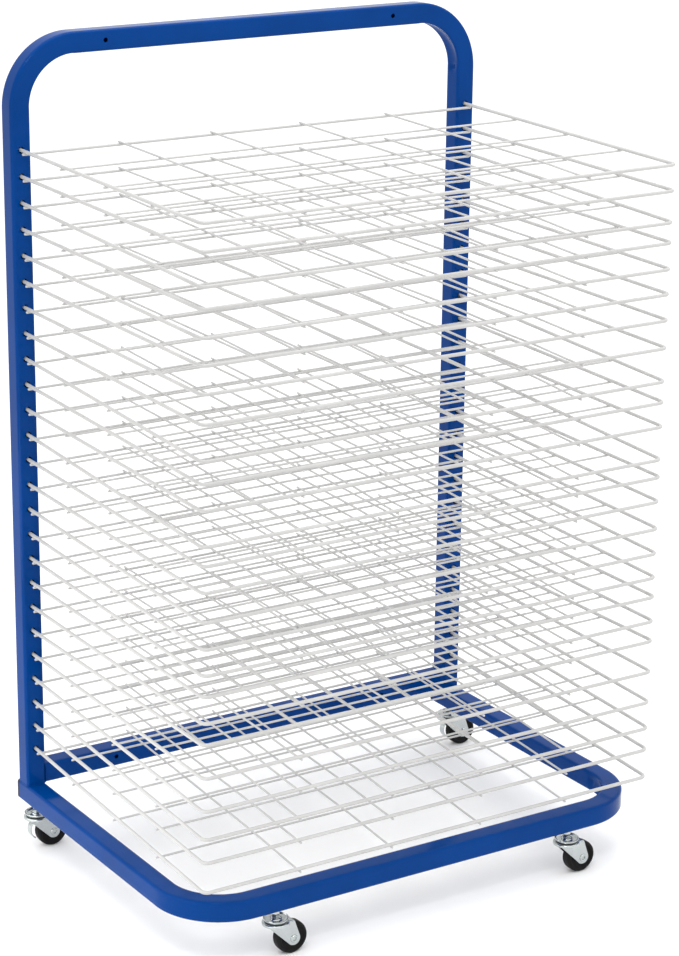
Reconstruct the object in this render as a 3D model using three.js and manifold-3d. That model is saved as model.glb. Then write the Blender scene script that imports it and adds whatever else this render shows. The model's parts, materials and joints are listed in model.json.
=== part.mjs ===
// Mobile art drying rack: a frame of bent square tube on four castors, with a stack of wire shelves
// whose hooked ends swing in holes in the two uprights.
// Millimetres, +Z up. X runs across the rack and Y from its front to its back. It stands on z = 0,
// with the origin under the middle of its bounding box.
import * as THREE from 'three';
import { mergeVertices } from 'three/addons/utils/BufferGeometryUtils.js';
import Module from 'manifold-3d';

const wasm = await Module();
wasm.setup();

// Frame tube
const tubeSize = 32;
const tubeWall = 2;
const tubeCorner = 4.5;
const bendRadius = 91;
const bendSteps = 4;
const frameWidth = 820;
const backFrameHeight = 1166;
const baseDepth = 546;
const boltHoleSpacing = 505;
const boltHoleDiameter = 7;
const seatGap = 0.3;

// Wire shelves, counted from the top
const shelfCount = 25;
const lowestHoleHeight = 61.2;
const topHoleDrop = 164.9;
const hookHoleDiameter = 8;
const shelfDepth = 522;
const sideWireDiameter = 5.4;
const rearWireDiameter = 4;
const meshWireDiameter = 3.2;
const hookRadius = 8;
const hookSteps = 4;
const shelfCorner = 10;
const cornerSteps = 2;
const rearWireSetback = 10.5;
const crossWireCount = 3;
const lengthWireCount = 4;
const crossWireOverhang = 5;
const rearWireOverhang = 4;
const weldDepth = 0.4;
const crossingGap = 0.1;
// How far each shelf's front hangs below its hooks, in degrees
const shelfDroopAngles = [
  1.4, 1.3, 2.1, 1.1, 1.1, 0.9, 0.9, 1.2, 2.5, 1.7, 1.5, 2.8, 1.5,
  1.4, 1.8, 1.8, 1.7, 0.8, 0.8, 0.0, 1.2, 2.4, 2.8, 2.4, 3.1,
];

// Plugs in the rear ends of the base rails
const plugFlange = 2;
const plugDepth = 12;

// Castors
const castorHeight = 75;
const frontCastorSpacing = 524;
const rearCastorInset = 28;
const swivelAngle = 0;
const wheelDiameter = 50;
const wheelWidth = 18;
const wheelFacets = 12;
const tyreBevel = 2.5;
const tyreDepth = 3;
const hubDiameter = 17;
const faceRecess = 2;
const trail = 24;
const axleDiameter = 8;
const axleHeadDiameter = 12;
const axleHeadThickness = 1.6;
const forkSheet = 2.2;
const forkGap = 20;
const forkEndRadius = 10.5;
const crownDiameter = 41;
const crownHeight = 54.6;
const crownRim = 3.4;
const legFront = -17.5;
const legBack = 25;
const shoulderFront = 8;
const kingPinDiameter = 10;
const kingPinHeadDiameter = 15;
const kingPinHeadThickness = 1.7;
const raceHeight = 1;
const raceInner = 14;
const raceOuter = 17;
const dishDiameter = 38;
const dishRise = 4.3;
const dishSheet = 1.8;
const stemCollarDiameter = 15;
const studDiameter = 10;
const studLength = 12;
const runningGap = 0.3;
const roundFacets = 8;
const crownFacets = 12;
const legSteps = 3;

// Brake levers of the rear castors
const brakeWidth = 12;
const brakeSheet = 1.6;
const brakePivot = [1, 46.5];
const brakeBarrelDiameter = 6;
const brakeStrip = [[-5.5, 45.5], [-11, 40.5], [-13, 33], [-12, 26], [-8.5, 20.5], [-5, 18]];

// Places that follow from the driving dimensions
const X = new THREE.Vector3(1, 0, 0);
const Y = new THREE.Vector3(0, 1, 0);
const Z = new THREE.Vector3(0, 0, 1);
const degrees = THREE.MathUtils.degToRad;
const baseTop = castorHeight + tubeSize;
const shelfPitch = (backFrameHeight - topHoleDrop - lowestHoleHeight) / (shelfCount - 1);
const uprightX = (frameWidth - tubeSize) / 2;
const tubeBore = tubeSize - 2 * tubeWall;
const baseFrontY = tubeSize - baseDepth;
const hingeY = tubeWall / 2;
const shelfReach = shelfDepth + hingeY;
// The hooks turn up as far as the most drooping one can before its tip meets the inside of the tube wall
const tipReach = (tubeWall / 2 + seatGap) / (hookRadius - sideWireDiameter / 2);
const tipAngle = Math.acos(tipReach) - degrees(Math.max(...shelfDroopAngles));
const hookTurn = 90 + THREE.MathUtils.radToDeg(tipAngle);
const axleHeight = wheelDiameter / 2;

const material = (color, roughness, metalness) =>
  new THREE.MeshStandardMaterial({ color, roughness, metalness, flatShading: true });
const bluePaint = material(0x0a4a9c, 0.35, 0.1);
const whiteCoat = material(0xe4e3de, 0.45, 0);
const zinc = material(0xbfc2c4, 0.35, 0.9);
const blackPlastic = material(0x17181a, 0.6, 0);

// A closed mesh reduced to its positions, with shared vertices merged and empty triangles dropped.
function tidy(geometry) {
  const bare = geometry.clone();
  bare.deleteAttribute('normal');
  bare.deleteAttribute('uv');
  const merged = mergeVertices(bare, 1e-4);
  const kept = [];
  const corners = merged.index.array;
  for (let i = 0; i < corners.length; i += 3) {
    const [a, b, c] = [corners[i], corners[i + 1], corners[i + 2]];
    if (a !== b && b !== c && c !== a) kept.push(a, b, c);
  }
  merged.setIndex(kept);
  return merged;
}

function solidOf(geometry) {
  const mesh = tidy(geometry);
  const vertProperties = Float32Array.from(mesh.attributes.position.array);
  const triVerts = Uint32Array.from(mesh.index.array);
  return new wasm.Manifold(new wasm.Mesh({ numProp: 3, vertProperties, triVerts }));
}

function geometryOf(solid) {
  const mesh = solid.getMesh();
  const geometry = new THREE.BufferGeometry();
  geometry.setAttribute('position', new THREE.BufferAttribute(mesh.vertProperties, 3));
  geometry.setIndex(new THREE.BufferAttribute(mesh.triVerts, 1));
  return geometry;
}

const fuse = (solids) => solids.reduce((whole, solid) => whole.add(solid));

// A path drawn by straight runs and circular turns. It keeps a frame (section X, section Y, heading)
// at each station where a swept section has to stand.
class Path {
  constructor(start, heading, up) {
    this.point = start.clone();
    this.heading = heading.clone();
    this.up = up.clone();
    this.side = up.clone().cross(heading);
    this.stations = [];
  }

  mark() {
    const frame = new THREE.Matrix4().makeBasis(this.side, this.up, this.heading);
    this.stations.push(frame.setPosition(this.point));
    return this;
  }

  run(length) {
    this.point.addScaledVector(this.heading, length);
    return this;
  }

  turn(radius, angle, axis, steps) {
    const centre = axis.clone().cross(this.heading).multiplyScalar(radius).add(this.point);
    this.mark();
    for (let step = 0; step < steps; step += 1) {
      const part = degrees(angle) / steps;
      this.point.sub(centre).applyAxisAngle(axis, part).add(centre);
      for (const arrow of [this.side, this.up, this.heading]) arrow.applyAxisAngle(axis, part);
      this.mark();
    }
    return this;
  }
}

// The closed solid of a section carried along a path's stations.
function sweep(section, stations) {
  const positions = [];
  const index = [];
  const count = section.length;
  for (const station of stations) {
    for (const [u, v] of section) positions.push(...new THREE.Vector3(u, v, 0).applyMatrix4(station));
  }
  for (let ring = 0; ring + 1 < stations.length; ring += 1) {
    for (let corner = 0; corner < count; corner += 1) {
      const a = ring * count + corner;
      const b = ring * count + ((corner + 1) % count);
      index.push(a, b, b + count, a, b + count, a + count);
    }
  }
  const contour = section.map(([u, v]) => new THREE.Vector2(u, v));
  const last = (stations.length - 1) * count;
  for (const [a, b, c] of THREE.ShapeUtils.triangulateShape(contour, [])) {
    index.push(c, b, a, last + a, last + b, last + c);
  }
  const geometry = new THREE.BufferGeometry();
  geometry.setAttribute('position', new THREE.Float32BufferAttribute(positions, 3));
  geometry.setIndex(index);
  return geometry;
}

// A square section, its rounded corners drawn as flats that touch the rounding at its middle.
const squareSection = (size, corner) => {
  const half = size / 2;
  const flat = half - corner * (2 - Math.SQRT2);
  if (corner === 0) return [[half, -half], [half, half], [-half, half], [-half, -half]];
  return [
    [half, -flat], [half, flat], [flat, half], [-flat, half],
    [-half, flat], [-half, -flat], [-flat, -half], [flat, -half],
  ];
};

const wireSection = (diameter) => {
  const radius = diameter / 2;
  return [[radius, 0], [0, radius], [-radius, 0], [0, -radius]];
};

const bar = (section, start, heading, up, length) =>
  sweep(section, new Path(start, heading, up).mark().run(length).mark().stations);

// A hollow tube: the path is drawn once for the outside and once, run out past both ends, for the bore.
function hollowTube(draw) {
  const outside = solidOf(sweep(squareSection(tubeSize, tubeCorner), draw(0)));
  const bore = solidOf(sweep(squareSection(tubeBore, 0), draw(tubeWall)));
  return outside.subtract(bore);
}

// A round rod used as a cutter, centred on a point and lying along an axis.
function rod(diameter, length, centre, axis, facets) {
  const geometry = new THREE.CylinderGeometry(diameter / 2, diameter / 2, length, facets);
  geometry.applyQuaternion(new THREE.Quaternion().setFromUnitVectors(Y, axis));
  return solidOf(geometry.translate(centre.x, centre.y, centre.z));
}

// A turned piece about Z from (radius, height) points.
function turned(profile, facets) {
  const points = profile.map(([radius, height]) => new THREE.Vector2(radius, height));
  return new THREE.LatheGeometry(points, facets).rotateX(Math.PI / 2);
}

const holeHeight = (shelf) => baseTop + lowestHoleHeight + (shelfCount - 1 - shelf) * shelfPitch;

// The back frame: one tube bent to an inverted U, with a hook hole in front for each end of each shelf.
function backFrame() {
  const draw = (overrun) => {
    const start = new THREE.Vector3(-uprightX, tubeSize / 2, baseTop + seatGap - overrun);
    const straight = backFrameHeight - seatGap - tubeSize / 2 - bendRadius;
    return new Path(start, Z, Y).mark().run(straight + overrun)
      .turn(bendRadius, 90, Y, bendSteps).run(2 * (uprightX - bendRadius))
      .turn(bendRadius, 90, Y, bendSteps).run(straight + overrun).mark().stations;
  };
  let tube = hollowTube(draw);
  for (let shelf = 0; shelf < shelfCount; shelf += 1) {
    for (const side of [-1, 1]) {
      const hole = new THREE.Vector3(side * uprightX, hingeY, holeHeight(shelf));
      tube = tube.subtract(rod(hookHoleDiameter, 2 * tubeWall, hole, Y, 6));
    }
  }
  return geometryOf(drillBoltHoles(tube, baseTop + backFrameHeight - tubeSize / 2));
}

// A pair of holes from front to back through a crosswise tube, for bolting racks to a wall or together.
function drillBoltHoles(tube, height) {
  let drilled = tube;
  for (const side of [-1, 1]) {
    const hole = new THREE.Vector3(side * boltHoleSpacing / 2, tubeSize / 2, height);
    drilled = drilled.subtract(rod(boltHoleDiameter, 2 * tubeSize, hole, Y, 6));
  }
  return drilled;
}

// The crossbar between the feet of the uprights, its underside level with the base rails' tops.
function rearCrossbar() {
  const half = uprightX - tubeSize / 2 - seatGap;
  const height = baseTop + seatGap + tubeSize / 2;
  const draw = (overrun) => {
    const start = new THREE.Vector3(-half - overrun, tubeSize / 2, height);
    return new Path(start, X, Z).mark().run(2 * (half + overrun)).mark().stations;
  };
  return geometryOf(drillBoltHoles(hollowTube(draw), height));
}

const castorPlaces = [
  { name: 'front_left_castor', x: -frontCastorSpacing / 2, y: baseFrontY + tubeSize / 2 },
  { name: 'front_right_castor', x: frontCastorSpacing / 2, y: baseFrontY + tubeSize / 2 },
  { name: 'rear_left_castor', x: -uprightX, y: tubeSize - rearCastorInset, braked: true },
  { name: 'rear_right_castor', x: uprightX, y: tubeSize - rearCastorInset, braked: true },
];

// The base: a second U of the same tube, lying flat and open to the rear, drilled below for the castors.
function baseFrame() {
  const draw = (overrun) => {
    const start = new THREE.Vector3(-uprightX, tubeSize + overrun, castorHeight + tubeSize / 2);
    const straight = baseDepth - tubeSize / 2 - bendRadius;
    return new Path(start, Y.clone().negate(), Z).mark().run(straight + overrun)
      .turn(bendRadius, 90, Z, bendSteps).run(2 * (uprightX - bendRadius))
      .turn(bendRadius, 90, Z, bendSteps).run(straight + overrun).mark().stations;
  };
  let tube = hollowTube(draw);
  for (const { x, y } of castorPlaces) {
    const hole = new THREE.Vector3(x, y, castorHeight + tubeWall / 2);
    tube = tube.subtract(rod(studDiameter + 4 * runningGap, 2 * tubeWall, hole, Z, roundFacets));
  }
  return geometryOf(tube);
}

// A plug for a rail's open end: a flange over the end and a square spigot in the bore.
function railPlug(x) {
  const start = new THREE.Vector3(x, tubeSize + seatGap + plugFlange, castorHeight + tubeSize / 2);
  const inward = Y.clone().negate();
  const flange = bar(squareSection(tubeSize, tubeCorner), start, inward, Z, plugFlange);
  const spigotSize = tubeBore - 2 * runningGap;
  const spigot = bar(squareSection(spigotSize, 0), start, inward, Z, plugFlange + plugDepth);
  return geometryOf(fuse([flange, spigot].map(solidOf)));
}

// One wire shelf about its hinge axis, which is the centre of both hooks. The side wires leave the hooks
// one hook radius below the axis and join in front. Cross wires lie under the side wires, and lengthwise
// wires lie on the cross wires, from the rear wire to the front wire.
function wireShelf() {
  const sideRadius = sideWireDiameter / 2;
  const meshRadius = meshWireDiameter / 2;
  const rearRadius = rearWireDiameter / 2;
  const tip = new THREE.Vector3(-uprightX, Math.cos(tipAngle) * hookRadius, Math.sin(tipAngle) * hookRadius);
  const tipHeading = new THREE.Vector3(0, Math.sin(tipAngle), -Math.cos(tipAngle));
  const tipUp = tipHeading.clone().cross(X);
  const path = new Path(tip, tipHeading, tipUp)
    .turn(hookRadius, hookTurn, X.clone().negate(), hookSteps).run(shelfReach - shelfCorner)
    .turn(shelfCorner, 90, Z, cornerSteps).run(2 * (uprightX - shelfCorner))
    .turn(shelfCorner, 90, Z, cornerSteps).run(shelfReach - shelfCorner)
    .turn(hookRadius, hookTurn, X, hookSteps);
  const wires = [sweep(wireSection(sideWireDiameter), path.stations)];

  const crossWire = (diameter, y, z, overhang) => {
    const start = new THREE.Vector3(-uprightX - overhang, y, z);
    return bar(wireSection(diameter), start, X, Z, 2 * (uprightX + overhang));
  };
  const crossZ = -hookRadius - sideRadius - meshRadius + weldDepth;
  for (let row = 1; row <= crossWireCount; row += 1) {
    const y = -hingeY - row * shelfDepth / (crossWireCount + 1);
    wires.push(crossWire(meshWireDiameter, y, crossZ, crossWireOverhang));
  }
  const lengthZ = crossZ + meshWireDiameter + crossingGap;
  const rearY = -rearWireSetback - hingeY;
  const rearZ = lengthZ - meshRadius - rearRadius + weldDepth;
  wires.push(crossWire(rearWireDiameter, rearY, rearZ, rearWireOverhang));
  for (let column = 1; column <= lengthWireCount; column += 1) {
    const x = uprightX * (2 * column / (lengthWireCount + 1) - 1);
    const start = new THREE.Vector3(x, rearY, lengthZ);
    const length = shelfReach + start.y;
    wires.push(bar(wireSection(meshWireDiameter), start, Y.clone().negate(), Z, length));
  }
  return geometryOf(fuse(wires.map(solidOf)));
}

// Castor pieces stand about the swivel axis, with the floor at z = 0 and the wheel trailing along +X.
function castorStem() {
  const pin = kingPinDiameter / 2;
  const head = kingPinHeadDiameter / 2;
  const collar = stemCollarDiameter / 2;
  const stud = studDiameter / 2;
  const dish = dishDiameter / 2;
  const dishBottom = crownHeight + raceHeight + 2 * runningGap;
  const headTop = crownHeight - forkSheet - runningGap;
  const seat = castorHeight - seatGap;
  return turned([
    [0, headTop - kingPinHeadThickness], [head, headTop - kingPinHeadThickness], [head, headTop],
    [pin, headTop], [pin, dishBottom], [dish - dishSheet, dishBottom], [dish, dishBottom + dishRise],
    [collar, dishBottom + dishSheet], [collar, seat], [stud, seat], [stud, seat + studLength],
    [0, seat + studLength],
  ], roundFacets);
}

// The ring of balls and its cage between the stem's dish and the fork's crown.
function castorRace() {
  const bottom = crownHeight + runningGap;
  const top = bottom + raceHeight;
  return turned([
    [raceInner, bottom], [raceOuter, bottom], [raceOuter, top], [raceInner, top], [raceInner, bottom],
  ], roundFacets);
}

// The outline of a fork leg in (trail, height): wide at the crown, drawn in by two tangents to a round end.
function legOutline() {
  const top = crownHeight - forkSheet / 2;
  const corners = [new THREE.Vector2(legFront, top - forkSheet), new THREE.Vector2(legBack, top)];
  const axle = new THREE.Vector2(trail, axleHeight);
  const tangent = (corner, turn) => {
    const away = corner.clone().sub(axle);
    return away.angle() + turn * Math.acos(forkEndRadius / away.length());
  };
  const shape = new THREE.Shape([corners[0], corners[1]]);
  const from = tangent(corners[1], -1);
  const to = tangent(corners[0], 1) - 2 * Math.PI;
  shape.absarc(axle.x, axle.y, forkEndRadius, from, to, true);
  const rim = Array.from({ length: roundFacets }, (_, facet) => {
    const spoke = new THREE.Vector2(axleDiameter / 2 + runningGap, 0);
    return spoke.rotateAround(new THREE.Vector2(), 2 * Math.PI * facet / roundFacets).add(axle);
  });
  shape.holes.push(new THREE.Path(rim));
  return shape;
}

function castorFork() {
  const crown = crownDiameter / 2;
  const bore = kingPinDiameter / 2 + runningGap;
  const disc = turned([
    [bore, crownHeight - forkSheet], [crown, crownHeight - crownRim], [crown, crownHeight],
    [bore, crownHeight], [bore, crownHeight - forkSheet],
  ], crownFacets);
  const legs = [-1, 1].map((side) => {
    const sheet = { depth: forkSheet, bevelEnabled: false, curveSegments: legSteps };
    const leg = new THREE.ExtrudeGeometry(legOutline(), sheet);
    return leg.rotateX(Math.PI / 2).translate(0, side * (forkGap + forkSheet) / 2 + forkSheet / 2, 0);
  });
  const shoulder = new THREE.BoxGeometry(legBack - shoulderFront, forkGap + 2 * forkSheet, forkSheet);
  shoulder.translate((legBack + shoulderFront) / 2, 0, crownHeight - forkSheet / 2);
  return geometryOf(fuse([disc, shoulder, ...legs].map(solidOf)));
}

// A turned piece laid across the castor on the axle's line.
const onAxle = (geometry) => geometry.rotateX(Math.PI / 2).translate(trail, 0, axleHeight);

function castorAxle() {
  const shaft = axleDiameter / 2;
  const head = axleHeadDiameter / 2;
  const seat = forkGap / 2 + forkSheet + runningGap;
  const end = seat + axleHeadThickness;
  return onAxle(turned([
    [0, -end], [head, -end], [head, -seat], [shaft, -seat],
    [shaft, seat], [head, seat], [head, end], [0, end],
  ], roundFacets));
}

// The wheel's facets lie outside its round tread, so that it stands on a flat.
function castorWheel() {
  const outside = 1 / Math.cos(Math.PI / wheelFacets);
  const bore = (axleDiameter / 2 + runningGap) * outside;
  const tread = wheelDiameter / 2 * outside;
  const hub = hubDiameter / 2;
  const half = wheelWidth / 2;
  const hubEnd = forkGap / 2 - runningGap;
  const face = half - faceRecess;
  const rim = tread - tyreBevel - tyreDepth;
  const flank = [
    [bore, hubEnd], [hub, face], [rim, face], [tread - tyreBevel, half], [tread, half - tyreBevel],
  ];
  const otherFlank = flank.map(([radius, along]) => [radius, -along]);
  const profile = [...otherFlank, ...flank.toReversed(), otherFlank[0]];
  return onAxle(turned(profile, wheelFacets).rotateZ(Math.PI / wheelFacets));
}

// The outline of a bent strip of sheet: its centre line set off by half the sheet to each side.
function stripOutline(line, sheet) {
  const points = line.map(([x, z]) => new THREE.Vector2(x, z));
  const edge = (side) => points.map((point, i) => {
    const before = points[Math.max(i - 1, 0)];
    const after = points[Math.min(i + 1, points.length - 1)];
    const along = after.clone().sub(before).normalize();
    return point.clone().add(new THREE.Vector2(-along.y, along.x).multiplyScalar(side * sheet / 2));
  });
  return new THREE.Shape([...edge(-1), ...edge(1).reverse()]);
}

// A brake lever: a barrel between the fork legs and a strip that hangs by the tread, with a curled end.
function castorBrake() {
  const outline = stripOutline([brakePivot, ...brakeStrip], brakeSheet);
  const strip = new THREE.ExtrudeGeometry(outline, { depth: brakeWidth, bevelEnabled: false });
  strip.rotateX(Math.PI / 2).translate(0, brakeWidth / 2, 0);
  const pivot = new THREE.Vector3(brakePivot[0], 0, brakePivot[1]);
  const barrel = rod(brakeBarrelDiameter, forkGap - 2 * runningGap, pivot, Y, roundFacets);
  return geometryOf(barrel.add(solidOf(strip)));
}

const rack = new THREE.Group();
rack.name = 'art_drying_rack';

function place(name, geometry, finish, x = 0, y = 0, z = 0) {
  const mesh = new THREE.Mesh(tidy(geometry), finish);
  mesh.name = name;
  mesh.position.set(x, y, z);
  rack.add(mesh);
  return mesh;
}

place('back_frame', backFrame(), bluePaint);
place('rear_crossbar', rearCrossbar(), bluePaint);
place('base_frame', baseFrame(), bluePaint);
place('left_rail_plug', railPlug(-uprightX), blackPlastic);
place('right_rail_plug', railPlug(uprightX), blackPlastic);

const shelfGeometry = wireShelf();
shelfDroopAngles.forEach((droop, shelf) => {
  const name = `shelf_${String(shelf + 1).padStart(2, '0')}`;
  const mesh = place(name, shelfGeometry, whiteCoat, 0, hingeY, holeHeight(shelf) + hookRadius);
  mesh.rotation.x = degrees(droop);
});

for (const { name, x, y, braked } of castorPlaces) {
  const pieces = [
    place(`${name}_stem`, castorStem(), zinc, x, y),
    place(`${name}_race`, castorRace(), zinc, x, y),
    place(`${name}_fork`, castorFork(), zinc, x, y),
    place(`${name}_axle`, castorAxle(), zinc, x, y),
    place(`${name}_wheel`, castorWheel(), blackPlastic, x, y),
  ];
  if (braked) pieces.push(place(`${name}_brake`, castorBrake(), zinc, x, y));
  for (const piece of pieces) piece.rotation.z = degrees(swivelAngle);
}

// The origin goes under the middle of the finished rack.
const middle = new THREE.Box3().setFromObject(rack).getCenter(new THREE.Vector3());
for (const mesh of rack.children) mesh.position.sub(new THREE.Vector3(middle.x, middle.y, 0));

export default rack;
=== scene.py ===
import json
import math

import bmesh
import bpy
import numpy as np
from bpy.props import FloatProperty, FloatVectorProperty, IntProperty, PointerProperty
from bpy.types import Operator, Panel, PropertyGroup
from mathutils import Matrix, Vector


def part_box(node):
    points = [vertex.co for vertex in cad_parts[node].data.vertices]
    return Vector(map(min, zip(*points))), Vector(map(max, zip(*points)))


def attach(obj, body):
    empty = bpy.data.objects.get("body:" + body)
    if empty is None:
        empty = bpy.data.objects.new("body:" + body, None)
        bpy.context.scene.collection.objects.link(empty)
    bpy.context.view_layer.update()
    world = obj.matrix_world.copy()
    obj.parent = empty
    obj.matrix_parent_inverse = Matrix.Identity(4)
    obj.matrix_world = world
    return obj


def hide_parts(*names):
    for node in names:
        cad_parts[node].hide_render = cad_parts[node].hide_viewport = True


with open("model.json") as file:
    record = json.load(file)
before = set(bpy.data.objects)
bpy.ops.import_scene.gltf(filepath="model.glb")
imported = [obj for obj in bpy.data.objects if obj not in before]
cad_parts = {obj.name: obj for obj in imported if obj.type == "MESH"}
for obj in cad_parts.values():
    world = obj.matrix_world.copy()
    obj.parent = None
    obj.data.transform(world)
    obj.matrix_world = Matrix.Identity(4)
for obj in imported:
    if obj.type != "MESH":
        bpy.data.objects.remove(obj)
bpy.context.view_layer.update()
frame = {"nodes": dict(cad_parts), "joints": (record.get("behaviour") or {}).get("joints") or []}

bl_info = {
    "name": "Art Drying Rack",
    "version": (1, 0, 0),
    "blender": (4, 5, 0),
    "location": "View3D > Sidebar > Drying Rack",
    "description": "Bent tube frame, hinged wire shelves, castors and a plain stage",
    "category": "Object",
}

MM = 0.001
X, Y, Z = np.eye(3)
JOINTS = {joint["name"]: joint for joint in frame["joints"]}
SHELVES = sorted(name for name in frame["nodes"] if name.startswith("shelf_"))
CASTORS = ("front_left_castor", "front_right_castor", "rear_left_castor", "rear_right_castor")
BRAKED = ("rear_left_castor", "rear_right_castor")
BACK_LOW, BACK_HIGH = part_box("back_frame")
BASE_LOW, BASE_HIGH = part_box("base_frame")
BAR_LOW, BAR_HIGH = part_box("rear_crossbar")


# Settings


def length(name, description, millimetres):
    return FloatProperty(name=name, description=description, default=millimetres * MM, unit="LENGTH")


def colour(name, description, red, green, blue):
    return FloatVectorProperty(
        name=name, description=description, default=(red, green, blue), subtype="COLOR", min=0, max=1
    )


class RackTubeSettings(PropertyGroup):
    """Sizes of the square tube and of the holes in it."""

    size: FloatProperty(
        name="Tube size", description="Outside of the square tube", unit="LENGTH",
        default=BACK_HIGH.y - BACK_LOW.y,
    )
    wall: length("Wall", "Thickness of the tube's wall", 2)
    corner: length("Corner", "Outside corner radius of the tube", 4.5)
    bend: length("Bend", "Centre line radius of the bends", 91)
    dent: length("Dent", "How far the inner wall is drawn in along a bend", 3.2)
    dimple: length("Dimple", "Depth of the small dimple at each end of a bend", 4.4)
    hook_hole: length("Hook hole", "Diameter of the holes that the shelves hook into", 9.2)
    bolt_hole: length("Bolt hole", "Diameter of the holes in the crosswise tubes", 7)
    bolt_spacing: length("Bolt spacing", "Distance between the two holes of a crosswise tube", 505)
    weld: length("Weld", "Radius of the painted weld beads", 1.0)
    plug_rim: length("Plug rim", "How far a plug stands out of its tube", 3.8)


class RackShelfSettings(PropertyGroup):
    """Sizes of the wire shelves."""

    reach: length("Reach", "From the hinge to the middle of the front wire", 523)
    side_wire: length("Side wire", "Diameter of the wire round the shelf", 5.4)
    rear_wire: length("Rear wire", "Diameter of the wire by the uprights", 4)
    mesh_wire: length("Mesh wire", "Diameter of the inner wires", 3.2)
    hook: length("Hook", "Centre line radius of the hooks", 8)
    corner: length("Corner", "Centre line radius of the front corners", 10)
    rear_setback: length("Rear setback", "From the hinge to the rear wire", 11.5)
    rear_overhang: length("Rear overhang", "How far the rear wire runs past the side wires", 4)
    cross_overhang: length("Cross overhang", "How far the cross wires run past the side wires", 5)
    nub: length("Nub", "How far the lengthwise wires run past the rear and front wires", 4.5)
    raised: FloatProperty(
        name="Raised angle", description="Angle above level to which every shelf lifts",
        default=math.radians(70), subtype="ANGLE",
    )
    cross_wires: IntProperty(name="Cross wires", description="Wires across each shelf", default=3)
    length_wires: IntProperty(name="Lengthwise wires", description="Wires along each shelf", default=4)


class RackCastorSettings(PropertyGroup):
    """Sizes of the castors."""

    wheel: length("Wheel", "Diameter of the wheel", 50)
    wheel_width: length("Wheel width", "Width of the tread", 18)
    trail: length("Trail", "From the swivel axis to the axle", 24)
    axle: length("Axle", "Diameter of the axle", 8)
    sheet: length("Sheet", "Thickness of the pressed fork", 2.2)
    fork_gap: length("Fork gap", "Inside width of the fork", 20)
    fork_end: length("Fork end", "Radius of the fork's lower ends", 10.5)
    crown: length("Crown", "Diameter of the fork's crown", 41)
    crown_top: length("Crown top", "Height of the crown's upper face", 54.6)
    leg_back: length("Leg back", "From the swivel axis to the back of the fork", 25)
    dish: length("Dish", "Diameter of the dish over the ball race", 38)
    collar: length("Collar", "Across the corners of the hexagon under the tube", 12)
    brake_sheet: length("Brake sheet", "Thickness of the brake lever", 1.6)
    brake_width: length("Brake width", "Width of the brake lever", 12)


class RackFinishSettings(PropertyGroup):
    """Colours of the finishes."""

    blue: colour("Frame blue", "Powder coat of the tubes", 0.0, 0.0395, 0.2)
    white: colour("Wire white", "Coat of the wire shelves", 0.48, 0.477, 0.469)
    zinc: colour("Zinc", "Plated steel of the castors", 0.47, 0.5, 0.5)
    black: colour("Black", "Wheels and plugs", 0.006, 0.006, 0.0065)
    floor: colour("Floor", "Plain floor of the stage", 0.9, 0.9, 0.9)


class RackStageSettings(PropertyGroup):
    """Camera and light of the stage."""

    camera: FloatVectorProperty(
        name="Camera", description="Where the camera stands", default=(-2.1065, -3.2172, 1.8209),
        subtype="TRANSLATION", unit="LENGTH",
    )
    yaw: FloatProperty(
        name="Yaw", description="Camera turned from +Y towards +X",
        default=math.radians(30.844), subtype="ANGLE",
    )
    pitch: FloatProperty(
        name="Pitch", description="Camera tilted down", default=math.radians(17.492), subtype="ANGLE",
    )
    lens: FloatProperty(name="Lens", description="Focal length on a 36 mm long side", default=100.74)
    shift: FloatProperty(name="Shift", description="Sideways shift of the picture", default=0.1041)
    floor: FloatProperty(name="Floor", description="Side of the floor", default=60, unit="LENGTH")
    room: FloatProperty(name="Room", description="Brightness of the white room", default=1.0)
    ceiling: FloatProperty(name="Ceiling", description="Strength of the light from above", default=1.2)
    ceiling_spread: FloatProperty(
        name="Ceiling spread", description="Angle that the light from above comes from",
        default=math.radians(100), subtype="ANGLE",
    )


# Finishes


# Colour sockets of a Mix node: its two inputs and its result
MIX_LOW, MIX_HIGH, MIX_RESULT = 6, 7, 2


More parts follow.
